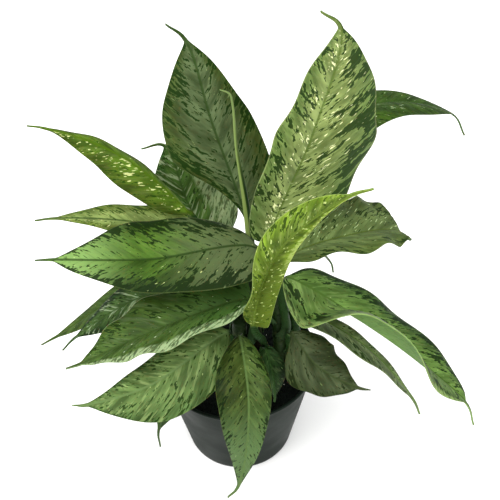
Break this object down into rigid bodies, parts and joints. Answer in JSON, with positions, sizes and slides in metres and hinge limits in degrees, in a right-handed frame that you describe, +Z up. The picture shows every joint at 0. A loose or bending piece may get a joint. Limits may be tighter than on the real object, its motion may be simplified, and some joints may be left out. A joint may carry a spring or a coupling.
{
  "type": "potted dieffenbachia",
  "caption": "Potted dieffenbachia: broad pointed leaves, mottled green and cream, on long stalks from short canes in a round tapered nursery pot of potting mix.",
  "frame": {"origin": "centre of the pot's underside, on the surface it stands on", "axes": "+Z up along the pot's axis; the pictured front faces -Y, so +Y points away from the viewer and +X to the viewer's right"},
  "size_m": [0.4224, 0.2341, 0.517],
  "materials": {
    "leaf_tall_back": "satin",
    "leaf_tall_front": "satin",
    "leaf_right_back": "satin",
    "leaf_right_mid": "satin",
    "leaf_young": "satin",
    "leaf_left_high": "satin",
    "leaf_left_back": "satin",
    "leaf_left_main": "satin",
    "leaf_left_strip": "satin",
    "leaf_left_low_back": "satin",
    "leaf_left_low": "satin",
    "leaf_front_left": "satin",
    "leaf_front_drop": "satin",
    "leaf_front_small": "satin",
    "leaf_front_right": "satin",
    "leaf_right_low": "satin",
    "leaf_right_long": "satin",
    "leaf_back_left": "satin",
    "leaf_back_right": "satin",
    "leaf_front_under": "satin",
    "cane_back": "satin",
    "cane_left": "satin",
    "cane_right": "satin",
    "new_leaf_spear": "satin",
    "pot": "satin",
    "potting_mix": "matte"
  },
  "bodies": {
    "root": {"leaf_tall_back": "leaf_tall_back", "leaf_tall_front": "leaf_tall_front", "leaf_right_back": "leaf_right_back", "leaf_right_mid": "leaf_right_mid", "leaf_young": "leaf_young", "leaf_left_high": "leaf_left_high", "leaf_left_back": "leaf_left_back", "leaf_left_main": "leaf_left_main", "leaf_left_strip": "leaf_left_strip", "leaf_left_low_back": "leaf_left_low_back", "leaf_left_low": "leaf_left_low", "leaf_front_left": "leaf_front_left", "leaf_front_drop": "leaf_front_drop", "leaf_front_small": "leaf_front_small", "leaf_front_right": "leaf_front_right", "leaf_right_low": "leaf_right_low", "leaf_right_long": "leaf_right_long", "leaf_back_left": "leaf_back_left", "leaf_back_right": "leaf_back_right", "leaf_front_under": "leaf_front_under", "cane_back": "cane_back", "cane_left": "cane_left", "cane_right": "cane_right", "new_leaf_spear": "new_leaf_spear", "pot": "pot", "potting_mix": "potting_mix"}
  },
  "joints": []
}
